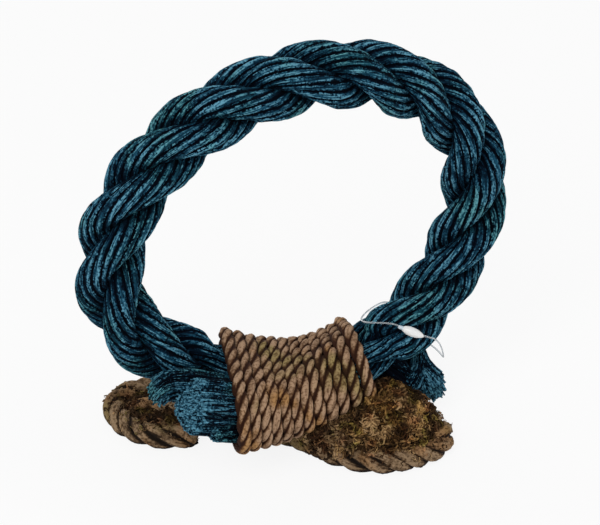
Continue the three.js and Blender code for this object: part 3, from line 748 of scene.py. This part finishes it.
def cord_material(name, colours, stains):
    """Twisted brown cord: painted shade dark between the plies and painted light pale where they stand
    out, stained in patches.
    """
    material, start, shader = new_material(name)
    crest, crown, fleck = map(start.attribute, ("crest", "crown", "fleck"))
    place = start.node("TexCoord", {}, {}, output="Object")
    specks = place.noise(1100.0)
    clouds = place.noise(220.0, 3.0)
    # Painted light and shade, roughened with noise: pale on the plies' lit backs, dark in the gaps.
    ragged = (crown + 0.6 * (clouds - 0.5) + 0.6 * (specks - 0.5)).fade(0.1, 1.1)
    tone = (0.8 + 0.2 * crest) * ragged * (0.7 + 0.5 * clouds.fade(0.25, 0.7)) * (0.7 + 0.3 * fleck)
    tone = tone * (0.6 + 0.6 * specks.fade(0.3, 0.6))
    stops = list(zip((0.0, 0.2, 0.5, 0.92), colours))
    colour = start.node("ValToRGB", {"stops": stops}, {"Fac": tone})
    for number, (stain, scale, low) in enumerate(stains):
        aside = (number * 0.37, number * 0.11, 0)
        shifted = start.node("Mapping", {}, {"Vector": place, "Location": aside})
        patch = shifted.noise(scale)
        colour = patch.fade(low, low + 0.12).mix(colour, colour.tint(stain))
    bumps = specks + 0.5 * fleck
    relief = start.node("Bump", {}, {"Strength": 0.7, "Distance": 0.0003, "Height": bumps})
    start.into(shader, Base_Color=colour, Roughness=0.92 - 0.12 * tone, Normal=relief)
    start.into(shader, Specular_IOR_Level=0.2)
    return material


turns = np.arange(LASHING_TURNS * TURN_STEPS + 1) / TURN_STEPS
lashing_line = np.array([
    lashing_point(LASHING_MIDDLE - LASHING_HALF + turn * LASHING_PITCH, turn, LASHING_CORD / 2)
    for turn in turns
])
first_run = lashing_line[0] + unit(lashing_line[0] - lashing_line[1]) * LASHING_CORD
last_run = lashing_line[-1] + unit(lashing_line[-1] - lashing_line[-2]) * LASHING_CORD
lashing_line = np.concatenate([[first_run], lashing_line, [last_run]])
lashing_line = respace(lashing_line, LASHING_STEP) + hoop_centre
middle = hoop_centre + np.array([
    (rope_at(front_rope, x) + rope_at(back_rope, x)) / 2
    for x in lashing_line[:, 0] - hoop_centre[0]
])
# The plies are painted dark where they face in towards the ropes, as shade.
lashing_plies = laid_cord(
    lashing_line, lashing_line - middle, shade_below=0.22, plies=3, thick=LASHING_THICK, lay=LASHING_LAY,
    yarns=5, facets=3, pitch=24, groove=0.02, fuzz=0.03, seed=21)
rings, ridge, crown, fibre, lines = zip(*lashing_plies)
lashing = tube_mesh(
    "lashing_turns", np.stack(rings), lines[0],
    crest=np.stack(ridge), crown=np.stack(crown), fleck=np.stack(fibre))
lashing.data.materials.append(cord_material("tan_lashing", LASHING_COLOURS, LASHING_STAINS))
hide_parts("lashing_cord")
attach(lashing, "ring")

# Foot: one thick three-ply cord laid flat on the floor in two lobes, like a bow, and drawn in under
# the lashing that stands on it. Its underside is worn flat, and one end shows in the left lobe.
FOOT_CORD = 7.6
FOOT_FLAT = 0.76
FOOT_HALF_LENGTH = 58
FOOT_BULGE_LEFT = 20
FOOT_LEFT_BEND = 4  # how far back the left lobe's end is bent
FOOT_LEFT_SQUARE = 0.72  # below 1, squares that end
FOOT_BULGE_RIGHT = 22.5
FOOT_WAIST = 4.6
FOOT_ANGLE = math.radians(-33.5)
FOOT_START = math.radians(70)
FOOT_END_ALONG = -49
FOOT_END_ACROSS = 2.5
FOOT_LAY = 21
FOOT_HEIGHT = FOOT_CORD / 2 - FOOT_FLAT
FOOT_FULLNESS = 0.5  # how much thicker than its solid the cord is, before it is worn flat
FOOT_PINCH = 11  # the higher, the shorter the stretch that is drawn in to the waist
FOOT_LOWEST = 0.02
FOOT_STEP = 0.8
LOBE_POINTS = 301
FOOT_END_POINTS = 61
FOOT_COLOURS = [paint(20, 11, 4), paint(56, 40, 25), paint(104, 82, 59), paint(154, 128, 99)]
FOOT_STAINS = [
    ((0.9, 0.95, 0.72, 1), 50.0, 0.58),
    ((1.0, 0.84, 0.66, 1), 70.0, 0.5),
    ((0.6, 0.57, 0.52, 1), 38.0, 0.53),
]


def foot_place(along, across, height):
    """From the foot's long axis and its width to the part's frame."""
    width = across + FOOT_WAIST
    x = along * math.cos(FOOT_ANGLE) - width * math.sin(FOOT_ANGLE)
    y = along * math.sin(FOOT_ANGLE) + width * math.cos(FOOT_ANGLE)
    return np.stack([x, y, np.full_like(x, height)], axis=-1)


def foot_line():
    """The cord's middle: round both lobes and in again, to its end in the left lobe."""
    angle = np.linspace(math.pi + FOOT_START, -math.pi / 2, LOBE_POINTS)
    sine, cosine = np.sin(angle), np.cos(angle)
    left = cosine < 0
    bulge = np.where(left, FOOT_BULGE_LEFT, FOOT_BULGE_RIGHT)
    width = bulge * sine - (bulge - FOOT_WAIST) * sine**FOOT_PINCH
    width = width + np.where(left, FOOT_LEFT_BEND * cosine**2, 0)
    length = np.where(left, -np.abs(cosine) ** FOOT_LEFT_SQUARE, cosine)
    lobes = foot_place(FOOT_HALF_LENGTH * length, width, FOOT_HEIGHT)
    inside = bezier(
        np.array([0, -FOOT_WAIST]),
        np.array([FOOT_END_ALONG / 3, -FOOT_WAIST]),
        np.array([FOOT_END_ALONG * 0.6, FOOT_END_ACROSS]),
        np.array([FOOT_END_ALONG, FOOT_END_ACROSS]),
        FOOT_END_POINTS,
    )
    inside = foot_place(inside[1:, 0], inside[1:, 1], FOOT_HEIGHT)
    return respace(np.concatenate([lobes, inside]), FOOT_STEP)


foot_route = foot_line()
brown_cord = cord_material("brown_foot", FOOT_COLOURS, FOOT_STAINS)
# Painted shade: the plies are dark on their undersides, facing the floor, and between one another.
foot_plies = laid_cord(
    foot_route, np.broadcast_to(UP, foot_route.shape), shade_below=-0.8, plies=3,
    thick=FOOT_CORD + FOOT_FULLNESS, lay=FOOT_LAY,
    yarns=7, facets=6, pitch=34, groove=0.05, fuzz=0.055, seed=31)
for number, (rings, ridge, crown, fibre, lines) in enumerate(foot_plies):
    rings[..., 2] = np.maximum(rings[..., 2], FOOT_LOWEST)
    ply = tube_mesh(f"foot_ply_{number + 1}", rings[None], lines, crest=ridge, crown=crown, fleck=fibre)
    ply.data.materials.append(brown_cord)
    if number == 0:
        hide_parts("foot_cord")
    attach(ply, "ring")

# Tow: loose brown fibre, matted into a crumbly heap in the right lobe and banked against the
# lashing, with a thin layer in the left lobe kept dark as painted shade in its hollow, and stray
# fibres on the foot. The heaps' bodies are painted dark as the shade deep among the fibres, and the
# right heap darker behind as shade, with ochre clumps on top and some dull green and pink.
RIGHT_HEAP = {"along": 31, "across": 1.5, "long": 25.5, "wide": 18.5, "high": 17, "rise": 3}
LEFT_HEAP = {"along": -41, "across": 2, "long": 16, "wide": 12.5, "high": 3.2, "rise": 0.6}
HEAP_CUT = 0.02  # of the ball that a heap is made from, how far over its middle it is cut
HEAP_RISE_FROM = -0.7  # where its back begins to rise, from -1 in front to 1 behind
HEAP_RISE_SPAN = 1.3
HEAP_LUMPS = [(7, 3.2), (2.5, 2.2)]  # size of the lumps and their height
HEAP_LOWEST = 0.05  # over the floor
# The heaps' own bodies are painted dark, as the shade deep among the fibres.
HEAP_SHADE = 0.14
RIGHT_FIBRES = 4600
RIGHT_LIGHT = (1.08, 0.58)  # in front and behind, where the fibres are painted darker as shade
LEFT_FIBRES = 2200
# The left lobe's layer is kept dark as painted shade in the lobe's hollow.
LEFT_LIGHT = (0.45, 0.35)
NOOK_FIBRES = 1000  # in the nook between the heap and the lashing
NOOK_LINE = [(11, -12.5, 6), (13.5, -13, 7.5), (17, -14, 10), (24, -16, 13.5), (32, -15, 16)]
NOOK_SPREAD = 3.0
NOOK_AIM = (0.3, -1, 0.6)
BANK_FIBRES = 1100  # on the lashing's underside in front
BANK_ACROSS = (-0.05, 1.04)  # share of the lashing's half, from its middle
BANK_ROUND = (0.05, 0.15)  # share of a turn
BANK_LIGHT = 0.8
FOOT_FIBRES = 900  # loose ones on the foot's cord
FOOT_FIBRE_SIZE = 0.33
FOOT_FIBRE_SINK = 0.3
FOOT_FIBRE_OVER = 1  # how far over the cord's middle they begin
FOOT_FIBRE_CROWN = 0.3  # and how far out on its plies
FOOT_LIGHT = 1.3
TOW_SEED = 41
TOW_RINGS = 7
TOW_SIDES = 3
TOW_RADIUS = 0.36
TOW_UNEVEN = (0.6, 1.5)
TOW_SHADES = (0.25, 1.7)
TOW_CLUMP = 22  # fibres in a clump
CLUMP_SHADES = (0.1, 0.76)
TOW_STAND = (-1.0, 1.6)  # how far a clump sinks or stands out
TOW_REACH = (1.2, 4.2)
TOW_CURL = (0.7, 1.8)
TOW_BENDS = (3, 8)  # how far a fibre's curl goes round, in radians
TOW_LOWEST = 0.65
TOW_OCHRE = (38.0, -4.0, 12.0)  # the middle of the ochre clumps: along, across and up
TOW_OCHRE_REACH = 13
TOW_COLOURS = [paint(22, 11, 3), paint(66, 46, 27), paint(124, 98, 70), paint(186, 156, 120)]


def heap_place(points, along, across, long, wide, high, rise):
    """From the unit half ball to a heap's own shape, which is higher behind than in front."""
    x, y, z = np.moveaxis(points, -1, 0)
    placed = foot_place(along + long * x, across + wide * y, 0.0)
    placed[..., 2] = z * (high + rise * smooth((y - HEAP_RISE_FROM) / HEAP_RISE_SPAN))
    return placed


def tow_material():
    material, start, shader = new_material("brown_tow")
    shade, gold = map(start.attribute, ("shade", "gold"))
    place = start.node("TexCoord", {}, {}, output="Object")
    specks = place.noise(900.0, 3.0)
    tints = place.noise(170.0, 1.0)
    tone = shade * (0.55 + 0.8 * specks.fade(0.3, 0.65))
    stops = list(zip((0.0, 0.2, 0.45, 0.9), TOW_COLOURS))
    colour = start.node("ValToRGB", {"stops": stops}, {"Fac": tone})
    for amount, tint in [
        (gold, (1.08, 0.92, 0.5, 1)),
        (tints.fade(0.55, 0.65), (0.82, 0.95, 0.6, 1)),
        (1 - tints.fade(0.35, 0.45), (1.1, 0.9, 0.85, 1)),
    ]:
        colour = amount.mix(colour, colour.tint(tint))
    relief = start.node("Bump", {}, {"Strength": 0.8, "Distance": 0.0004, "Height": specks})
    start.into(shader, Base_Color=colour, Roughness=0.95 - 0.1 * tone, Normal=relief)
    start.into(shader, Specular_IOR_Level=0.15)
    return material


def mesh_points(piece):
    points = np.zeros(len(piece.data.vertices) * 3)
    piece.data.vertices.foreach_get("co", points)
    return points.reshape(-1, 3)


tow = tow_material()
for name, heap_shape in [("tow_heap", RIGHT_HEAP), ("tow_left", LEFT_HEAP)]:
    bpy.ops.object.select_all(action="DESELECT")
    bpy.ops.mesh.primitive_ico_sphere_add(subdivisions=6, radius=1)
    heap = bpy.context.object
    heap.name = name
    bpy.ops.object.mode_set(mode="EDIT")
    bpy.ops.mesh.select_all(action="SELECT")
    bpy.ops.mesh.bisect(
        plane_co=(0, 0, HEAP_CUT), plane_no=(0, 0, 1), use_fill=True, clear_inner=True)
    bpy.ops.object.mode_set(mode="OBJECT")
    points = heap_place(mesh_points(heap), **heap_shape) * MM
    heap.data.vertices.foreach_set("co", points.ravel())
    heap.data.update()
    for size, rise in HEAP_LUMPS:
        lumps = bpy.data.textures.new("tow_lumps", "CLOUDS")
        lumps.noise_scale = size * MM
        swell = heap.modifiers.new("lumps", "DISPLACE")
        swell.texture = lumps
        swell.texture_coords = "LOCAL"
        swell.strength = rise * MM
        swell.mid_level = 0.5
        bpy.ops.object.modifier_apply(modifier=swell.name)
    points = mesh_points(heap)
    points[:, 2] = np.maximum(points[:, 2], HEAP_LOWEST * MM)
    heap.data.vertices.foreach_set("co", points.ravel())
    attribute = heap.data.attributes.new("shade", "FLOAT", "POINT")
    attribute.data.foreach_set("value", np.full(len(points), HEAP_SHADE, np.float32))
    bpy.ops.object.shade_smooth()
    heap.data.materials.append(tow)
    if heap_shape is RIGHT_HEAP:
        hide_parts("tow_mound")
    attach(heap, "ring")


def tufts(name, roots, steep, generator, light, size):
    """Short curled fibres in clumps on a surface, each clump of its own height and shade."""
    count = len(roots)
    clumps = roots[generator.choice(count, count // TOW_CLUMP, replace=False)]
    nearest = np.linalg.norm(roots[:, None] - clumps[None], axis=2).argmin(1)
    stand = size * generator.uniform(*TOW_STAND, len(clumps))[nearest]
    heading = generator.normal(size=(count, 3))
    heading = unit(heading - 0.6 * (heading * steep).sum(1, keepdims=True) * steep)[:, None]
    sideways = unit(np.cross(heading, steep[:, None]))
    share = np.linspace(0, 1, TOW_RINGS)[None, :, None]
    reach = size * generator.uniform(*TOW_REACH, (count, 1, 1))
    curl = size * generator.uniform(*TOW_CURL, (count, 1, 1))
    phase = generator.uniform(0, 2 * np.pi, (count, 1, 1))
    bends = generator.uniform(*TOW_BENDS, (count, 1, 1)) * share + phase
    swing = np.cos(bends) * sideways + 0.6 * np.sin(bends) * steep[:, None]
    paths = roots[:, None] + heading * reach * (share - 0.5) + curl * swing
    lift = size * 1.2 * np.sin(np.pi * share) + 0.2 + stand[:, None, None]
    paths = paths + steep[:, None] * lift
    paths[..., 2] = np.maximum(paths[..., 2], TOW_LOWEST)
    taper = 1 - 0.4 * share[:, :, 0]
    radius = TOW_RADIUS * math.sqrt(size) * generator.uniform(*TOW_UNEVEN, (count, 1)) * taper
    shade = generator.uniform(*CLUMP_SHADES, len(clumps))[nearest]
    shade = shade * generator.uniform(*TOW_SHADES, count)
    gold = generator.uniform(0, 1, len(clumps)) ** 1.2
    along, across, height = TOW_OCHRE
    middle = foot_place(np.array([along]), np.array([across]), height)
    near = np.exp(-((np.linalg.norm(roots - middle, axis=1) / TOW_OCHRE_REACH) ** 2))
    shade = light * shade * (0.82 + 0.28 * near)
    tangle = tube_mesh(
        name,
        fibre_tubes(paths, radius, TOW_SIDES, generator),
        shade=shade[:, None, None],
        gold=np.clip(gold[nearest] * (0.4 + 0.6 * near) + 0.5 * near, 0, 1)[:, None, None],
    )
    tangle.data.materials.append(tow)
    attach(tangle, "ring")


generator = np.random.default_rng(TOW_SEED)
for name, heap_shape, count, (front, behind) in [
    ("tow_fibres", RIGHT_HEAP, RIGHT_FIBRES, RIGHT_LIGHT),
    ("tow_left_fibres", LEFT_HEAP, LEFT_FIBRES, LEFT_LIGHT),
]:
    disc = np.sqrt(generator.uniform(0, 0.98, count))
    spin = generator.uniform(0, 2 * np.pi, count)
    x, y, z = disc * np.cos(spin), disc * np.sin(spin), np.sqrt(1 - disc**2)
    roots = heap_place(np.stack([x, y, z], axis=-1), **heap_shape)
    light = front + (behind - front) * smooth(2 * y)
    steep = unit(np.stack([x * 0.6, y, z], axis=-1))
    tufts(name, roots, steep, generator, light, size=1.0)

nook = np.array(NOOK_LINE, float)
place = generator.uniform(0, len(nook) - 1, NOOK_FIBRES)
roots = np.stack([np.interp(place, np.arange(len(nook)), nook[:, k]) for k in range(3)], axis=-1)
steep = unit(generator.normal(size=(NOOK_FIBRES, 3)) + NOOK_AIM)
roots = roots + steep * generator.uniform(0, NOOK_SPREAD, (NOOK_FIBRES, 1))
turn_x = LASHING_MIDDLE + generator.uniform(*BANK_ACROSS, BANK_FIBRES) * LASHING_HALF
turn_share = generator.uniform(*BANK_ROUND, BANK_FIBRES)
under = np.array([
    [lashing_point(x, share, room) for room in (LASHING_CORD, LASHING_CORD + 1)]
    for x, share in zip(turn_x, turn_share)
])
roots = np.concatenate([roots, under[:, 0] + hoop_centre])
steep = np.concatenate([steep, unit(under[:, 1] - under[:, 0])])
tufts("tow_bank", roots, steep, generator, BANK_LIGHT, size=1.0)

surface = np.stack([rings for rings, *_ in foot_plies])
raised = np.stack([crown for _, _, crown, *_ in foot_plies]) > FOOT_FIBRE_CROWN
spots = np.argwhere(raised & (surface[..., 2] > FOOT_HEIGHT + FOOT_FIBRE_OVER))
spots = spots[generator.choice(len(spots), FOOT_FIBRES, replace=False)]
roots = surface[tuple(spots.T)]
steep = unit(roots - foot_route[spots[:, 1]])
roots = roots - FOOT_FIBRE_SINK * steep
tufts("foot_fibres", roots, steep, generator, FOOT_LIGHT, size=FOOT_FIBRE_SIZE)

# Tag filament: a loop of clear nylon, thinner than a millimetre, round the ring's right side. Both
# its ends go into the lock, so that it can't come off, but it turns on the rope.
TAG_FILAMENT = 0.6
TAG_SLACK = 1
TAG_EASE = 0.5  # room on the loop's tight side, so that it clears the rope as it turns
TAG_HANG = 5  # how far the loop's slack sags, down and along the rope
TAG_SLIDE = 6  # how far its tight side has slid down the rope
TAG_TILT = math.radians(27)
TAG_LOCK_TURN = math.pi + math.radians(55)
LOCK_LENGTH = 9.4
LOCK_DIAMETER = 3.3
LOCK_GRIP = 0.6  # how far the filament's ends go into the lock
TIGHT_FROM = 15  # how far along the loop from the lock the slide is full
TIGHT_TO = 16  # and where it begins to fade again
TIGHT_FADE = 12
BEHIND_REACH = 1.05  # share of the rope's radius, from its middle to the loop behind it
FILAMENT_SIDES = 10
FILAMENT_STEP = 0.7
NECK_POINTS = 13
ARC_POINTS = 24  # for each radian


def tag_frame():
    along = hoop_tangent(TAG_ANGLE)
    outward = unit(np.cross(BACK, along))
    behind = np.cross(along, outward)
    tilt = np.array(Matrix.Rotation(-TAG_TILT, 3, "Y"))
    return np.stack([outward, behind, along], axis=1) @ tilt


def in_tag(flat):
    """From the loop's own plane to the part's frame."""
    flat = np.asarray(flat, float)
    return pin + flat @ tag_frame()[:, :2].T


def arc(middle, radii, begin, end):
    angle = np.linspace(begin, end, max(3, round(abs(end - begin) * ARC_POINTS)))
    return np.array(middle) + np.array(radii) * np.stack([np.cos(angle), np.sin(angle)], axis=-1)


tag_rope = ROPE_RADIUS * rope_scale(hoop_point(TAG_ANGLE)[None])[0]
rope_reach = tag_rope / math.cos(TAG_TILT) + CLEARANCE
hug_inside = rope_reach + TAG_FILAMENT / 2 + TAG_EASE
hug_behind = BEHIND_REACH * tag_rope + CLEARANCE + TAG_FILAMENT / 2
loop = rope_reach + LOCK_DIAMETER / 2 + CLEARANCE
drop = loop - hug_inside
wide = (hug_behind + loop) / 2
half_lock = (LOCK_LENGTH / 2 - LOCK_GRIP) / loop
neck = arc((drop, 0), (loop, loop), TAG_LOCK_TURN - half_lock, math.pi)[0]
filament_path = np.concatenate([
    np.linspace(neck, (-hug_inside, 0), NECK_POINTS)[:-1],
    arc((0, 0), (hug_inside, hug_behind), math.pi, math.pi / 2),
    arc((drop + TAG_SLACK, hug_behind - wide), (wide, wide), math.pi / 2, -math.pi / 2),
    arc((drop, 0), (loop, loop), 1.5 * math.pi, TAG_LOCK_TURN + half_lock),
])
hanging = smooth(filament_path[:, :1] / (drop + TAG_SLACK + wide))
gone = travelled(in_tag(filament_path))[:, None]
tight = smooth(gone / TIGHT_FROM) * (1 - smooth((gone - TIGHT_TO) / TIGHT_FADE))
filament_path = in_tag(filament_path) - TAG_HANG * hanging * (hoop_tangent(TAG_ANGLE) + UP)
filament_path = filament_path - TAG_SLIDE * tight * hoop_tangent(TAG_ANGLE)
filament_path = respace(filament_path, FILAMENT_STEP)
along = unit(np.gradient(filament_path, axis=0))
side = np.broadcast_to(tag_frame()[:, 2], along.shape)
angle = 2 * np.pi * np.arange(FILAMENT_SIDES)[:, None] / FILAMENT_SIDES
turned = np.cos(angle) * side[:, None] + np.sin(angle) * np.cross(along, side)[:, None]
filament = tube_mesh("tag_loop", (filament_path[:, None] + TAG_FILAMENT / 2 * turned)[None])
nylon, start, shader = new_material("clear_nylon")
place = start.node("TexCoord", {}, {}, output="Object")
milky = place.noise(500.0)
colour = milky.mix((0.62, 0.68, 0.72, 1), (0.85, 0.88, 0.9, 1))
start.into(shader, Base_Color=colour, Roughness=0.18, IOR=1.53, Transmission_Weight=0.75)
filament.data.materials.append(nylon)
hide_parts("tag_filament")
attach(filament, "tag")

# Tag lock: a moulded white bead in which the filament's ends snap together. It is oval, with a short
# clear knuckle at the end where the filament is pushed in.
LOCK_STATIONS = [  # place along the lock and radius there
    (0.0, 0.45), (0.15, 0.62), (1.1, 0.66), (1.7, 0.7), (1.95, 0.95), (2.6, 1.3), (3.8, 1.62),
    (5.2, 1.65), (6.8, 1.5), (8.0, 1.1), (8.9, 0.62), (9.3, 0.3),
]
LOCK_SIDES = 16
KNUCKLE_LENGTH = 1.75
lock_at = np.array([drop + loop * math.cos(TAG_LOCK_TURN), loop * math.sin(TAG_LOCK_TURN)])
lock_way = np.array([-math.sin(TAG_LOCK_TURN), math.cos(TAG_LOCK_TURN)])
bpy.ops.object.select_all(action="DESELECT")
bpy.ops.mesh.primitive_circle_add(
    vertices=LOCK_SIDES, radius=LOCK_STATIONS[0][1] * MM, fill_type="NGON")
lock = bpy.context.object
lock.name = "tag_bead"
bpy.ops.object.mode_set(mode="EDIT")
bpy.ops.mesh.select_all(action="SELECT")
for (before, wide_before), (station, wide) in zip(LOCK_STATIONS, LOCK_STATIONS[1:]):
    onward = (0, 0, (station - before) * MM)
    bpy.ops.mesh.extrude_region_move(TRANSFORM_OT_translate={"value": onward})
    bpy.ops.transform.resize(value=(wide / wide_before, wide / wide_before, 1))
bpy.ops.mesh.select_all(action="SELECT")
bpy.ops.mesh.normals_make_consistent(inside=False)
bpy.ops.object.mode_set(mode="OBJECT")
rounded = lock.modifiers.new("rounded", "SUBSURF")
rounded.levels = 2
rounded.render_levels = 2
bpy.ops.object.modifier_apply(modifier=rounded.name)
bpy.ops.object.shade_smooth()
points = mesh_points(lock) / MM
knuckle = (points[:, 2] < KNUCKLE_LENGTH).astype(np.float32)
attribute = lock.data.attributes.new("knuckle", "FLOAT", "POINT")
attribute.data.foreach_set("value", knuckle)
centre = in_tag(lock_at)
down = in_tag(lock_at + lock_way) - centre
over = tag_frame()[:, 2]
across = np.cross(over, down)
x, y, z = points[:, :1], points[:, 1:2], points[:, 2:] - LOCK_LENGTH / 2
points = centre + x * across + y * over + z * down
lock.data.vertices.foreach_set("co", (points * MM).ravel())
lock.data.update()
bead, start, shader = new_material("white_lock")
clear = start.attribute("knuckle")
place = start.node("TexCoord", {}, {}, output="Object")
sheen = place.noise(300.0)
colour = clear.mix((0.9, 0.9, 0.89, 1), (0.6, 0.68, 0.74, 1))
start.into(shader, Base_Color=colour, Roughness=0.25 + 0.15 * sheen)
lock.data.materials.append(bead)
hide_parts("tag_lock")
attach(lock, "tag")
